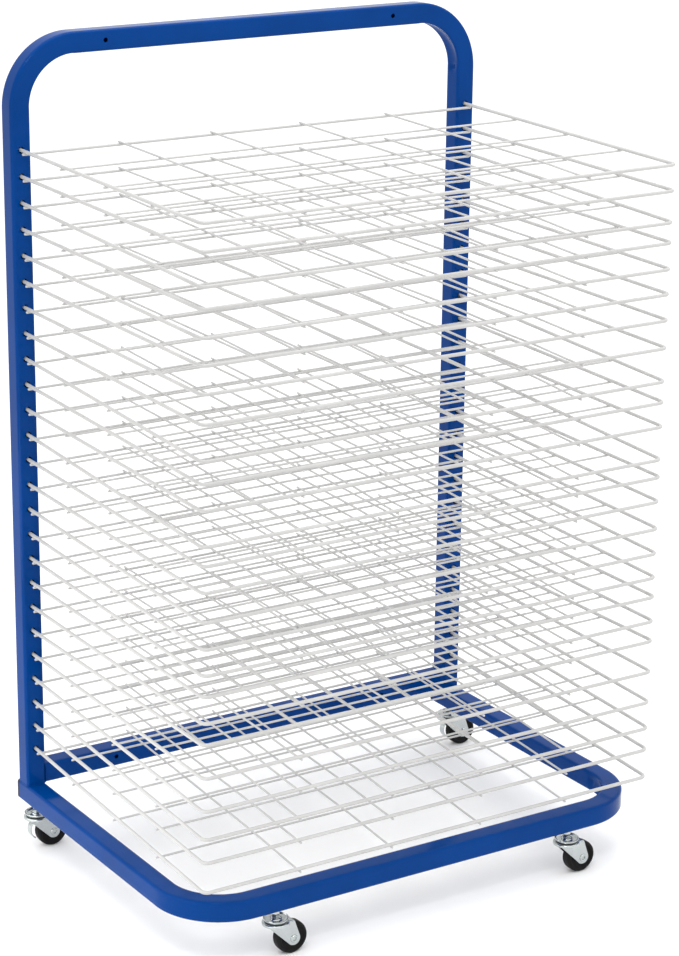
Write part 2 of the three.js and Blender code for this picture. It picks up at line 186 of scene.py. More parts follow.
class Link:
    """An output socket of a material that takes part in sums; each operation adds a Math node."""

    def __init__(self, tree, socket):
        self.tree = tree
        self.socket = socket

    def node(self, kind, settings, sockets, output=0):
        """Any other node: its settings are set first, then the values or links of its sockets."""
        made = self.tree.nodes.new(kind)
        for key, value in settings.items():
            if key == "stops":
                ramp = made.color_ramp.elements
                for stop, (at, level) in zip(ramp, value):
                    stop.position = at
                    stop.color = (level, level, level, 1)
            else:
                setattr(made, key, value)
        for key, value in sockets.items():
            feed(self.tree, made.inputs[key], value)
        return Link(self.tree, made.outputs[output])

    def sum_with(self, operation, first, second):
        return self.node("ShaderNodeMath", {"operation": operation}, {0: first, 1: second})

    def __add__(self, other):
        return self.sum_with("ADD", self, other)

    def __radd__(self, other):
        return self.sum_with("ADD", other, self)

    def __sub__(self, other):
        return self.sum_with("SUBTRACT", self, other)

    def __rsub__(self, other):
        return self.sum_with("SUBTRACT", other, self)

    def __mul__(self, other):
        return self.sum_with("MULTIPLY", self, other)

    def __rmul__(self, other):
        return self.sum_with("MULTIPLY", other, self)

    def noise(self, scale, detail=2.0, roughness=0.5):
        """Noise of about that many patches in a metre."""
        sockets = {"Vector": self, "Scale": scale, "Detail": detail, "Roughness": roughness}
        return self.node("ShaderNodeTexNoise", {}, sockets)

    def between(self, low, high):
        """A soft step from 0 at low to 1 at high."""
        return self.node("ShaderNodeValToRGB", {"stops": ((low, 0), (high, 1))}, {0: self})

    def mix(self, low, high):
        """A colour from low to high."""
        sockets = {0: self, MIX_LOW: low, MIX_HIGH: high}
        return self.node("ShaderNodeMix", {"data_type": "RGBA"}, sockets, MIX_RESULT)

    def stretched(self, x, y, z):
        """Coordinates multiplied along each axis."""
        return self.node("ShaderNodeVectorMath", {"operation": "MULTIPLY"}, {0: self, 1: (x, y, z)})

    def bump(self, height, strength, depth):
        """A normal bent by a height, which stands for that many millimetres."""
        sockets = {"Strength": strength, "Distance": depth * MM, "Height": height}
        return self.node("ShaderNodeBump", {}, sockets)


def feed(tree, socket, value):
    """Set a socket to a value, or join a link to it."""
    if isinstance(value, Link):
        tree.links.new(value.socket, socket)
    else:
        socket.default_value = value


def tint(rgb, share):
    """A colour made lighter or darker, with its alpha."""
    return (*[min(1.0, channel * share) for channel in rgb], 1.0)


def new_finish(name):
    """An empty material and the link to the object's own coordinates."""
    made = bpy.data.materials.new(name)
    made.use_nodes = True
    here = made.node_tree.nodes.new("ShaderNodeTexCoord").outputs["Object"]
    return made, Link(made.node_tree, here)


def coat_with(made, sockets):
    """Feed the sockets of a material's surface shader."""
    shader = made.node_tree.nodes["Principled BSDF"]
    for key, value in sockets.items():
        feed(made.node_tree, shader.inputs[key], value)
    return made


def blue_powder_coat(rgb):
    """Gloss powder coat: an orange-peel skin with faint clouds of tone and a thin film of dust."""
    made, here = new_finish("blue_powder_coat")
    cloud = here.noise(9, 3)
    dust = here.noise(420, 4, 0.65).between(0.55, 0.75)
    peel = here.noise(650, 1.5)
    grit = here.noise(2600, 1)
    tone = cloud.between(0.3, 0.7).mix(tint(rgb, 0.9), tint(rgb, 1.1))
    return coat_with(made, {
        "Base Color": (dust * 0.012).mix(tone, (0.1, 0.24, 0.5, 1)),
        "Roughness": 0.07 + cloud * 0.06 + dust * 0.05,
        "Specular IOR Level": 0.07,
        "Normal": here.bump(peel + grit * 0.15, 0.07, 0.4),
    })


def white_wire_coat(rgb):
    """Thick white coat on wire: a little uneven, greyer where it is handled."""
    made, here = new_finish("white_wire_coat")
    cloud = here.noise(14, 3)
    speck = here.noise(900, 2).between(0.62, 0.78)
    runs = here.noise(240, 2)
    tone = cloud.between(0.35, 0.7).mix(tint(rgb, 0.93), tint(rgb, 1.06))
    return coat_with(made, {
        "Base Color": (speck * 0.18).mix(tone, tint(rgb, 0.7)),
        "Roughness": 0.3 + cloud * 0.1 + speck * 0.12,
        "Coat Weight": 0.2,
        "Coat Roughness": 0.2,
        "Normal": here.bump(runs + speck * 0.2, 0.2, 0.4),
    })


def zinc_plate(rgb):
    """Bright zinc: faint spangle, drawing marks and dull patches."""
    made, here = new_finish("zinc_plate")
    patch = here.noise(70, 4, 0.6)
    marks = here.stretched(1, 1, 12).noise(260, 3, 0.7)
    spangle = here.node("ShaderNodeTexVoronoi", {"feature": "F1"}, {"Vector": here, "Scale": 420})
    tone = (patch * 0.7 + spangle * 0.3).mix(tint(rgb, 0.78), tint(rgb, 1.22))
    return coat_with(made, {
        "Base Color": marks.between(0.3, 0.75).mix(tone, tint(rgb, 1.1)),
        "Metallic": 0.97 - patch.between(0.6, 0.8) * 0.1,
        "Roughness": 0.1 + patch * 0.14 + marks * 0.06,
        "Normal": here.bump(marks + spangle * 0.3, 0.025, 0.3),
    })


def greased_steel(rgb):
    """Balls and cage, nearly black: painted shade of the narrow gap between dish and crown, glossier in
    places.
    """
    made, here = new_finish("greased_steel")
    blotch = here.noise(180, 4, 0.6)
    return coat_with(made, {
        "Base Color": blotch.between(0.4, 0.7).mix(tint(rgb, 0.05), tint(rgb, 0.16)),
        "Metallic": 0.3,
        "Roughness": 0.25 + blotch * 0.3,
        "Normal": here.bump(blotch, 0.2, 0.3),
    })


def black_wheel(rgb, radius):
    """Moulded wheel: a fine matt skin, with the tread greyed by the floor."""
    made, here = new_finish("black_wheel")
    flat = here.stretched(1, 0, 1)
    spread = here.node("ShaderNodeVectorMath", {"operation": "LENGTH"}, {0: flat}, 1)
    tread = spread.between(radius - 2.8 * MM, radius - 0.4 * MM)
    scuff = here.noise(300, 5, 0.7)
    skin = here.noise(3800, 2)
    dust = tread * scuff.between(0.35, 0.7)
    return coat_with(made, {
        "Base Color": (dust * 0.16 + scuff * 0.03).mix(tint(rgb, 1), (0.07, 0.068, 0.066, 1)),
        "Roughness": 0.36 + dust * 0.3 + scuff * 0.1,
        "Specular IOR Level": 0.1,
        "Normal": here.bump(skin + scuff * 0.4, 0.25, 0.3),
    })


def black_plug(rgb):
    """Moulded plug: an even, lightly sparked surface."""
    made, here = new_finish("black_plug")
    skin = here.noise(3200, 2)
    cloud = here.noise(90, 3)
    return coat_with(made, {
        "Base Color": cloud.mix(tint(rgb, 0.9), tint(rgb, 1.8)),
        "Roughness": 0.45 + skin * 0.2,
        "Specular IOR Level": 0.2,
        "Normal": here.bump(skin, 0.3, 0.3),
    })


def pale_floor(rgb):
    """Plain matt floor with the least clouding."""
    made, here = new_finish("pale_floor")
    cloud = here.noise(1.5, 2)
    return coat_with(made, {
        "Base Color": cloud.mix(tint(rgb, 0.995), tint(rgb, 1.005)),
        "Roughness": 0.7 + cloud * 0.05,
        "Specular IOR Level": 0.2,
    })


def finish_of(name):
    """The named finish, made on first use from the colours in the settings."""
    if name in bpy.data.materials:
        return bpy.data.materials[name]
    rgb = bpy.context.scene.rack_finish
    wheel = bpy.context.scene.rack_castor.wheel / 2
    return {
        "blue_powder_coat": lambda: blue_powder_coat(rgb.blue),
        "white_wire_coat": lambda: white_wire_coat(rgb.white),
        "zinc_plate": lambda: zinc_plate(rgb.zinc),
        "greased_steel": lambda: greased_steel(rgb.zinc),
        "black_wheel": lambda: black_wheel(rgb.black, wheel),
        "black_plug": lambda: black_plug(rgb.black),
        "pale_floor": lambda: pale_floor(rgb.floor),
    }[name]()


# Mesh tools


# Edges that bend by more than these degrees are sharp
SHARP = 35
# Points nearer than this are one point, and a ring of the pole's radius closes to a point
MERGE = 3e-6
POLE = 1e-6
# Shares of the radius over the rounded end of a wire
ROUND_END = (0.2, 0.6, 0.87, 1.0)
# How far round a turn a station is when it stands on none
STRAIGHT = 9.0


def turned_about(vector, axis, angle):
    """A vector turned about a unit axis."""
    along = axis * (axis @ vector)
    return along + (vector - along) * math.cos(angle) + np.cross(axis, vector) * math.sin(angle)


class Path:
    """Straight runs and circular turns, with a frame at each station where a section stands.

    A station also says how far round its turn it is, from 0 to 1, or STRAIGHT.
    """

    def __init__(self, start, heading, up):
        self.point = np.array(start, float)
        self.heading = np.array(heading, float)
        self.up = np.array(up, float)
        self.side = np.cross(up, heading)
        self.stations = []

    def mark(self, bent=STRAIGHT, ahead=0.0):
        """A station here, or a little ahead."""
        spot = self.point + self.heading * ahead
        self.stations.append((spot, self.side.copy(), self.up.copy(), bent))
        return self

    def run(self, distance):
        self.point = self.point + self.heading * distance
        return self

    def turn(self, radius, angle, axis, steps, leads=()):
        """A circular turn; leads are distances at which stations also stand before and after it."""
        centre = self.point + np.cross(axis, self.heading) * radius
        for lead in leads:
            self.mark(-lead / (radius * angle), -lead)
        self.mark(0.0)
        for step in range(1, steps + 1):
            part = angle / steps
            self.point = centre + turned_about(self.point - centre, axis, part)
            self.side, self.up, self.heading = (
                turned_about(arrow, axis, part) for arrow in (self.side, self.up, self.heading)
            )
            self.mark(step / steps)
        for lead in reversed(leads):
            self.mark(1 + lead / (radius * angle), lead)
        return self


def ring_at(station, section):
    """A section stood up at a station."""
    point, side, up, _ = station
    return [point + side * u + up * v for u, v in section]


def circle(radius, count):
    angles = np.arange(count) * 2 * math.pi / count
    return [(radius * math.cos(angle), radius * math.sin(angle)) for angle in angles]


def set_off(radius, height, *steps):
    """Profile points set off by millimetres from a radius and a height; none is thinner than a pole."""
    return [(max(radius + out * MM, POLE), height + up * MM) for out, up in steps]


def rounded_square(size, radius, corner_steps=5, flat_steps=10):
    """A square with rounded corners, and points along its flats."""
    points = []
    middle = size / 2 - radius
    for quarter in range(4):
        start = quarter * math.pi / 2
        diagonal = start + math.pi / 4
        centre = np.array([math.cos(diagonal), math.sin(diagonal)]) * middle * math.sqrt(2)
        for step in range(corner_steps + 1):
            angle = start + step * math.pi / 2 / corner_steps
            points.append(centre + radius * np.array([math.cos(angle), math.sin(angle)]))
        along = np.array([-math.sin(start + math.pi / 2), math.cos(start + math.pi / 2)])
        last = points[-1]
        for step in range(1, flat_steps):
            points.append(last + along * 2 * middle * step / flat_steps)
    return [tuple(point) for point in points]


class Shell:
    """Points and faces gathered for one mesh."""

    def __init__(self):
        self.points = []
        self.faces = []

    def rings(self, rings, caps=True, around=False):
        """Closed rings of equal count joined along a run, capped at both ends or joined round."""
        first = len(self.points)
        count = len(rings[0])
        for ring in rings:
            self.points.extend(tuple(point) for point in ring)
        spans = len(rings) if around else len(rings) - 1
        for span in range(spans):
            here = first + span * count
            there = first + (span + 1) % len(rings) * count
            for corner in range(count):
                after = (corner + 1) % count
                self.faces.append((here + corner, here + after, there + after, there + corner))
        if caps and not around:
            last = first + (len(rings) - 1) * count
            self.faces.append(tuple(first + corner for corner in reversed(range(count))))
            self.faces.append(tuple(last + corner for corner in range(count)))
        return self

    def sweep(self, section, stations):
        return self.rings([ring_at(station, section) for station in stations])

    def rod(self, start, end, radius, sides=10):
        """A wire from start to end with coated, rounded ends."""
        start, end = np.array(start, float), np.array(end, float)
        heading = (end - start) / np.linalg.norm(end - start)
        up = Z if abs(heading @ Z) < 0.9 else X
        return self.bent_rod([start, end], radius, sides, up)

    def bent_rod(self, line, radius, sides, up):
        """A wire through a line of points, its ends rounded off."""
        line = [np.array(point, float) for point in line]
        last = len(line) - 1
        rings = []
        for i, point in enumerate(line):
            ahead = line[min(i + 1, last)] - line[max(i - 1, 0)]
            heading = ahead / np.linalg.norm(ahead)
            side = np.cross(up, heading)
            side = side / np.linalg.norm(side)
            lift = np.cross(heading, side)
            shares = {0: ROUND_END, last: ROUND_END[::-1]}.get(i, (1.0,))
            inwards = {0: heading, last: -heading}.get(i, 0 * heading)
            for share in shares:
                base = point + inwards * radius * (1 - math.sqrt(1 - share * share))
                rings.append([base + side * u * share + lift * v * share for u, v in circle(radius, sides)])
        return self.rings(rings)

    def ball(self, centre, radii, across=8, down=5):
        """A small rounded blob, its poles cut a little short."""
        centre = np.array(centre, float)
        short = 0.02
        rings = []
        for level in range(down + 1):
            fall = math.pi * (level + short) / (down + 2 * short)
            rings.append([
                centre + np.array([u * math.sin(fall), v * math.sin(fall), -math.cos(fall)]) * radii
                for u, v in circle(1, across)
            ])
        return self.rings(rings)

    def turned(self, profile, segments, closed=False, caps=False):
        """A turned piece about Z from (radius, height) points."""
        ring = circle(1, segments)
        rings = [[(u * radius, v * radius, height) for u, v in ring] for radius, height in profile]
        return self.rings(rings, caps=caps, around=closed)

    def plate(self, outline, low, high, bevel):
        """A flat plate in X and Z from y low to high, its edges eased."""
        middle = np.mean(outline, axis=0)
        outline = np.array(outline, float)
        before, after = np.roll(outline, 1, 0), np.roll(outline, -1, 0)
        along = after - before
        along = along / np.linalg.norm(along, axis=1)[:, None]
        inward = np.stack([-along[:, 1], along[:, 0]], 1)
        if np.sum((middle - outline) * inward) < 0:
            inward = -inward
        levels = ((low, bevel), (low + bevel, 0), (high - bevel, 0), (high, bevel))
        return self.rings([[(x, y, z) for x, z in outline + inward * back] for y, back in levels])

    def mesh(self, name, sharp=SHARP):
        """A mesh with merged points, faces turned outwards and edges sharp above an angle."""
        made = bpy.data.meshes.new(name)
        made.from_pydata(self.points, [], self.faces)
        work = bmesh.new()
        work.from_mesh(made)
        bmesh.ops.remove_doubles(work, verts=work.verts, dist=MERGE)
        bmesh.ops.recalc_face_normals(work, faces=work.faces)
        work.to_mesh(made)
        work.free()
        shade(made, sharp)
        return made


def shade(mesh, sharp):
    mesh.shade_smooth()
    mesh.set_sharp_from_angle(angle=math.radians(sharp))


def stand(name, data):
    """A new object in the scene."""
    made = bpy.data.objects.new(name, data)
    bpy.context.scene.collection.objects.link(made)
    return made


def piece(name, mesh, finish, body, nodes=(), spot=None):
    """A finished piece in its place: it rides on a body and stands for its CAD nodes."""
    made = stand(name, mesh)
    if not mesh.materials:
        mesh.materials.append(finish_of(finish))
    if spot is not None:
        made.matrix_world = spot
    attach(made, body)
    if nodes:
        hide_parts(*nodes)
    return made


def even_normals(made):
    """Large flats keep their own normal beside small rounded edges."""
    made.modifiers.new("even_normals", "WEIGHTED_NORMAL").keep_sharp = True


def cut(mesh, cutter):
    """The mesh with the cutter's shells taken out of it."""
    body, tool = stand("uncut", mesh), stand("cutter", cutter)
    change = body.modifiers.new("holes", "BOOLEAN")
    change.operation = "DIFFERENCE"
    change.solver = "EXACT"
    change.object = tool
    graph = bpy.context.evaluated_depsgraph_get()
    result = bpy.data.meshes.new_from_object(body.evaluated_get(graph))
    for made in (body, tool):
        bpy.data.objects.remove(made)
    if not result.polygons:
        raise RuntimeError(f"cutting the holes of {mesh.name} left nothing")
    shade(result, SHARP)
    return result


# Tubes


# Sections that also stand before and after a bend, so that its dimples come out round
BEND_LEADS = tuple(lead * MM for lead in (20, 15, 11, 8, 5, 2.5))
BEND_STEPS = 40
# How far a dimple reaches, as a share of its bend
DIMPLE_REACH = 0.028
# Powers that flatten the hollow along a bend and keep the dimples to the middle of the wall
HOLLOW_POWER = 0.4
NARROW = 8
HOLE_SIDES = 20


def drawn_in(tube, bent, across):
    """How far the inner wall of a bend lies in: a long shallow hollow, with a dimple at each end of it."""
    share = min(max(bent, 0.0), 1.0)
    hollow = tube.dent * max(0.0, math.sin(math.pi * share)) ** HOLLOW_POWER
    nearest = min(abs(bent), abs(bent - 1))
    dimple = tube.dimple * math.exp(-(nearest / DIMPLE_REACH) ** 2)
    return hollow * across + dimple * across ** NARROW


def tube_rings(tube, stations, inset):
    """Sections of the tube's skin, or of its bore at an inset, drawn in along the bends."""
    section = np.array(rounded_square(tube.size - 2 * inset, tube.corner - inset))
    half = tube.size / 2 - inset
    across = np.clip(1 - (section[:, 1] / half) ** 2, 0, 1)
    inner = np.clip(section[:, 0] / half, 0, 1) ** NARROW
    rings = []
    for station in stations:
        drawn = section.copy()
        drawn[:, 0] -= drawn_in(tube, station[3], across) * inner
        rings.append(ring_at(station, drawn))
    return rings


def hollow_tube(tube, stations):
    """A hollow square tube through the stations, closed at each end between its skin and its bore."""
    shell = Shell()
    skin = tube_rings(tube, stations, 0.0)
    shell.rings(skin, caps=False)
    inner = len(shell.points)
    shell.rings([ring[::-1] for ring in tube_rings(tube, stations, tube.wall)], caps=False)
    count = len(skin[0])
    for end, turn in ((0, 1), (len(skin) - 1, -1)):
        edge = end * count
        far = inner + edge + count - 1
        for corner in range(count):
            after = (corner + 1) % count
            face = (edge + corner, far - corner, far - after, edge + after)
            shell.faces.append(face[::turn])
    return shell


def bent_u(tube, start, heading, axis, straight, across):
    """Stations of a tube bent to a U about an axis: a leg, a bend, the bar, a bend and a leg."""
    bend = (tube.bend, math.pi / 2, axis, BEND_STEPS, BEND_LEADS)
    path = Path(start, heading, axis).mark().run(straight)
    path.turn(*bend).run(across - 2 * tube.bend)
    return path.turn(*bend).run(straight).mark().stations


def eased_hole(tools, radius, depth, spot, both_ends):
    """A cutter along +Y that eases the rim of a hole where it enters, or at both faces."""
    ease, out = 0.5 * MM, 1.0 * MM
    wide = radius + ease + out
    profile = [(POLE, -out), (wide, -out), (radius, ease)]
    if both_ends:
        profile += [(radius, depth - ease), (wide, depth + out), (POLE, depth + out)]
    else:
        profile += [(radius, depth), (POLE, depth)]
    x, y, z = spot
    ring = circle(1, HOLE_SIDES)
    tools.rings([[(x + u * r, y + h, z - v * r) for u, v in ring] for r, h in profile])


def bolt_holes(tools, tube, height):
    middle = (BACK_LOW.x + BACK_HIGH.x) / 2
    for side in (-1, 1):
        spot = (middle + side * tube.bolt_spacing / 2, BACK_LOW.y, height)
        eased_hole(tools, tube.bolt_hole / 2, tube.size, spot, True)


def back_frame_mesh(tube):
    half = tube.size / 2
    across = BACK_HIGH.x - BACK_LOW.x - tube.size
    straight = BACK_HIGH.z - BACK_LOW.z - half - tube.bend
    start = (BACK_LOW.x + half, BACK_LOW.y + half, BACK_LOW.z)
    stations = bent_u(tube, start, Z, Y, straight, across)
    hook = bpy.context.scene.rack_shelf.hook
    tools = Shell()
    for name in SHELVES:
        height = JOINTS[f"{name}_lift"]["pos_m"][2] - hook
        for x in (BACK_LOW.x + half, BACK_HIGH.x - half):
            eased_hole(tools, tube.hook_hole / 2, 2 * tube.wall, (x, BACK_LOW.y, height), False)
    bolt_holes(tools, tube, BACK_HIGH.z - half)
    return cut(hollow_tube(tube, stations).mesh("back_frame_tube"), tools.mesh("back_frame_holes"))


def crossbar_mesh(tube):
    half = tube.size / 2
    start = (BAR_LOW.x, BAR_LOW.y + half, BAR_LOW.z + half)
    stations = Path(start, X, Z).mark().run(BAR_HIGH.x - BAR_LOW.x).mark().stations
    tools = Shell()
    bolt_holes(tools, tube, BAR_LOW.z + half)
    return cut(hollow_tube(tube, stations).mesh("crossbar_tube"), tools.mesh("crossbar_holes"))


def base_frame_mesh(tube):
    half = tube.size / 2
    across = BASE_HIGH.x - BASE_LOW.x - tube.size
    straight = BASE_HIGH.y - BASE_LOW.y - half - tube.bend
    start = (BASE_LOW.x + half, BASE_HIGH.y, BASE_LOW.z + half)
    stations = bent_u(tube, start, -Y, Z, straight, across)
    return hollow_tube(tube, stations).mesh("base_frame_tube")


class RACK_OT_tubes(Operator):
    """Build the back frame, the rear crossbar and the base frame from bent square tube"""

    bl_idname = "rack.tubes"
    bl_label = "Tube frame"

    def execute(self, context):
        tube = context.scene.rack_tube
        for name, mesh in (
            ("back_frame", back_frame_mesh(tube)),
            ("rear_crossbar", crossbar_mesh(tube)),
            ("base_frame", base_frame_mesh(tube)),
        ):
            made = piece(f"{name}_tube", mesh, "blue_powder_coat", "frame", [name])
            even_normals(made)
        return {"FINISHED"}


def bead(shell, loop, out, radius):
    """A weld bead round a closed loop, rippled as it was laid."""
    loop = [np.array(point, float) for point in loop]
    rings = []
    for i, point in enumerate(loop):
        ahead = loop[(i + 1) % len(loop)] - loop[i - 1]
        ahead = ahead / np.linalg.norm(ahead)
        side = np.cross(out, ahead)
        ripple = 0.1 * math.sin(i * 1.9) + 0.06 * math.sin(i * 0.37)
        swell = radius * (1 + ripple)
        rings.append([point + side * u * swell + out * v * swell for u, v in circle(1, 8)])
    shell.rings(rings, around=True)


class RACK_OT_welds(Operator):
    """Lay the painted weld beads round the crossbar's ends and the feet of the uprights"""

    bl_idname = "rack.welds"
    bl_label = "Weld beads"

    def execute(self, context):
        tube = context.scene.rack_tube
        half = tube.size / 2
        sunk = 0.2 * MM
        loop = rounded_square(tube.size - 2 * sunk, tube.corner, corner_steps=6, flat_steps=14)
        middle_y, middle_z = BAR_LOW.y + half, BAR_LOW.z + half
        shell = Shell()
        for x in (BAR_LOW.x, BAR_HIGH.x):
            bead(shell, [(x, middle_y + u, middle_z + v) for u, v in loop], X, tube.weld)
        for x in (BACK_LOW.x + half, BACK_HIGH.x - half):
            bead(shell, [(x + u, middle_y + v, BACK_LOW.z) for u, v in loop], Z, tube.weld)
        piece("weld_beads", shell.mesh("weld_beads"), "blue_powder_coat", "frame")
        return {"FINISHED"}


class RACK_OT_plugs(Operator):
    """Put the moulded plugs in the open rear ends of the base rails"""

    bl_idname = "rack.plugs"
    bl_label = "Rail plugs"

    def execute(self, context):
        tube = context.scene.rack_tube
        bore = tube.size - 2 * tube.wall
        seat = BASE_HIGH.y + 0.3 * MM
        rim = seat + tube.plug_rim
        for side in ("left", "right"):
            name = f"{side}_rail_plug"
            low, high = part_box(f"{side}_rail_plug")
            centre = (low + high) / 2
            steps = (
                *set_off(bore, low.y, (-3, 0), (-0.6, 2)),
                *set_off(bore, seat, (-0.6, 0)),
                *set_off(tube.size, seat, (-0.2, 0), (0, 0.3)),
                *set_off(tube.size, rim, (0, 0), (-0.8, 0.6), (-3, 0.9), (-12, 1)),
            )
            rings = []
            for size, y in steps:
                outline = rounded_square(size, min(tube.corner, size / 4))
                rings.append([(centre.x + u, y, centre.z - v) for u, v in outline])
            mesh = Shell().rings(rings).mesh(name)
            piece(f"{name}_cap", mesh, "black_plug", "frame", [name])
        return {"FINISHED"}


# Shelves


# How far welded wires are pressed into each other
PRESS = 0.35 * MM
# How far the tip of a hook turns up past level, about the hinge
HOOK_TIP = math.radians(72)
HOOK_STEPS, CORNER_STEPS, CRANK_STEPS = 14, 10, 8
# How far in front of the hinge the spacing of the cross wires starts
FIRST_ROW = 1 * MM
# Share of the nub that is left past the front wire
FRONT_NUB = 0.4
# Weld spots under the side wires, between the inner wires and under the front wire
SIDE_SPOT, MESH_SPOT, FRONT_SPOT = np.array([(2.6, 2.6, 1.5), (2.2, 2.2, 1.1), (2.4, 2.4, 1.2)]) * MM


def shelf_mesh(shelf, half_width):
    """One wire shelf about its hinge, lying level."""
    side, rear, mesh = shelf.side_wire / 2, shelf.rear_wire / 2, shelf.mesh_wire / 2
    tip_y, tip_z = math.cos(HOOK_TIP), math.sin(HOOK_TIP)
    heading = np.array([0, tip_z, -tip_y])
    hook = (shelf.hook, HOOK_TIP + math.pi / 2)
    corner = (shelf.corner, math.pi / 2, Z, CORNER_STEPS)
    shell = Shell()
    path = Path((-half_width, shelf.hook * tip_y, shelf.hook * tip_z), heading, np.cross(heading, X))
    path.turn(*hook, -X, HOOK_STEPS).run(shelf.reach - shelf.corner).turn(*corner)
    path.run(2 * (half_width - shelf.corner)).turn(*corner)
    path.run(shelf.reach - shelf.corner).turn(*hook, X, HOOK_STEPS)
    shell.sweep(circle(side, 12), path.stations)

    cross_z = -shelf.hook - side - mesh + PRESS
    length_z = cross_z + 2 * mesh - PRESS
    rear_z = length_z - mesh - rear + PRESS
    pitch = (shelf.reach - FIRST_ROW) / (shelf.cross_wires + 1)
    rows = [
        (-FIRST_ROW - pitch * (row + 1), cross_z, mesh, shelf.cross_overhang)
        for row in range(shelf.cross_wires)
    ]
    last_row = rows[-1][0]
    rows.append((-shelf.rear_setback, rear_z, rear, shelf.rear_overhang))
    spans = shelf.length_wires + 1
    columns = [half_width * (2 * column / spans - 1) for column in range(1, spans)]
    for y, z, radius, overhang in rows:
        reach = half_width + overhang
        shell.rod((-reach, y, z), (reach, y, z), radius)
        for x in (-half_width, half_width):
            shell.ball((x, y, z + radius), SIDE_SPOT)
        for x in columns:
            shell.ball((x, y, z + radius - PRESS / 2), MESH_SPOT)
    for x in columns:
        # Each lengthwise wire cranks down from the last cross wire to pass under the front wire
        line = [(x, -shelf.rear_setback + rear + shelf.nub, length_z), (x, last_row, length_z)]
        for share in np.arange(1, CRANK_STEPS + 1) / CRANK_STEPS:
            ease = share * share * (3 - 2 * share)
            y = last_row + (-shelf.reach - last_row) * share
            line.append((x, y, length_z + (cross_z - length_z) * ease))
        line.append((x, -shelf.reach - side - shelf.nub * FRONT_NUB, cross_z))
        shell.bent_rod(line, mesh, 10, Z)
        shell.ball((x, -shelf.reach, cross_z + mesh), FRONT_SPOT)
    return shell.mesh("wire_shelf", 50)


class RACK_OT_shelves(Operator):
    """Weld up the wire shelves and hang each one at its own droop"""

    bl_idname = "rack.shelves"
    bl_label = "Wire shelves"

    def execute(self, context):
        shelf = context.scene.rack_shelf
        half_width = (BACK_HIGH.x - BACK_LOW.x - context.scene.rack_tube.size) / 2
        mesh = shelf_mesh(shelf, half_width)
        for name in SHELVES:
            joint = JOINTS[f"{name}_lift"]
            droop = math.radians(joint["range_deg"][1]) - shelf.raised
            spot = Matrix.Translation(joint["pos_m"]) @ Matrix.Rotation(droop, 4, "X")
            piece(f"{name}_wires", mesh, "white_wire_coat", name, [name], spot)
        return {"FINISHED"}


# Castors


# Gap between pieces that move on each other
PLAY = 0.3 * MM
# A brake lever's pivot and the line of its strip, back and up from the floor under the swivel
BRAKE_PIVOT = np.array([1, 46.5]) * MM
BRAKE_STRIP = np.array([(-5.5, 45.5), (-11, 40.5), (-13, 33), (-12, 26), (-8.5, 20.5), (-5, 18)]) * MM


def swivel_spot(name):
    x, y, _ = JOINTS[f"{name}_swivel"]["pos_m"]
    return Matrix.Translation((x, y, 0))


def castor_pieces(kind, mesh, finish, body, names=CASTORS, lift=None):
    """The same piece on each castor."""
    for name in names:
        spot = swivel_spot(name) @ (lift or Matrix.Identity(4))
        node = f"{name}_{kind}"
        piece(f"{node}_made", mesh, finish, body(name), [node], spot)


class RACK_OT_stems(Operator):
    """Turn the castor stems: stud, hexagon collar, dish and king pin"""

    bl_idname = "rack.stems"
    bl_label = "Castor stems"

    def execute(self, context):
        castor = context.scene.rack_castor
        seat = BASE_LOW.z - PLAY
        floor = castor.crown_top + 1.6 * MM
        head = castor.crown_top - castor.sheet - PLAY
        pin = 5 * MM
        shell = Shell()
        shell.turned([
            *set_off(0, head, (0, -1.7), (5, -1.7), (7, -1.2), (7.5, -0.5), (7.4, 0)),
            (pin, head), (pin, floor),
            *set_off(
                castor.dish / 2, floor, (-3.2, 0), (-1.6, 0.5), (-0.5, 1.6), (0, 3.6), (-0.3, 4.3),
                (-1.1, 4.3), (-1.8, 3.2), (-2.8, 2), (-4.6, 1.4),
            ),
            *set_off(0, floor, (9.5, 1.4), (8.4, 1.9), (7.8, 3.2), (7.2, 3.6), (0, 3.6)),
        ], 64)
        corner = castor.collar / 2
        eased, neck = corner * 0.88, corner * 0.6
        shell.turned([
            *set_off(eased, floor, (0, 3.2)), *set_off(corner, floor, (0, 4.2)),
            *set_off(corner, seat, (0, -1.4)), *set_off(eased, seat, (0, -0.5)),
            *set_off(neck, seat, (0, -0.5), (0, 0)),
        ], 6, caps=True)
        shell.turned(set_off(0, seat, (0, -1), (5, -1), (5, 11), (4, 12), (0, 12)), 32)
        castor_pieces("stem", shell.mesh("castor_stem"), "zinc_plate", lambda name: "frame")
        return {"FINISHED"}


class RACK_OT_races(Operator):
    """Lay the ring of balls between each dish and crown"""

    bl_idname = "rack.races"
    bl_label = "Castor ball races"

    def execute(self, context):
        castor = context.scene.rack_castor
        middle = castor.crown_top + 0.8 * MM
        track, balls = 15.6 * MM, 24
        cage = set_off(0, middle, (14.2, -0.35), (16.8, -0.35), (16.8, 0.35), (14.2, 0.35))
        shell = Shell().turned(cage, 48, closed=True)
        for x, y in circle(track, balls):
            shell.ball((x, y, middle), (1.4 * MM, 1.4 * MM, 0.5 * MM))
        # The balls and cage are nearly black: painted shade of the gap between dish and crown
        castor_pieces("race", shell.mesh("castor_race"), "greased_steel", lambda name: "frame")
        return {"FINISHED"}


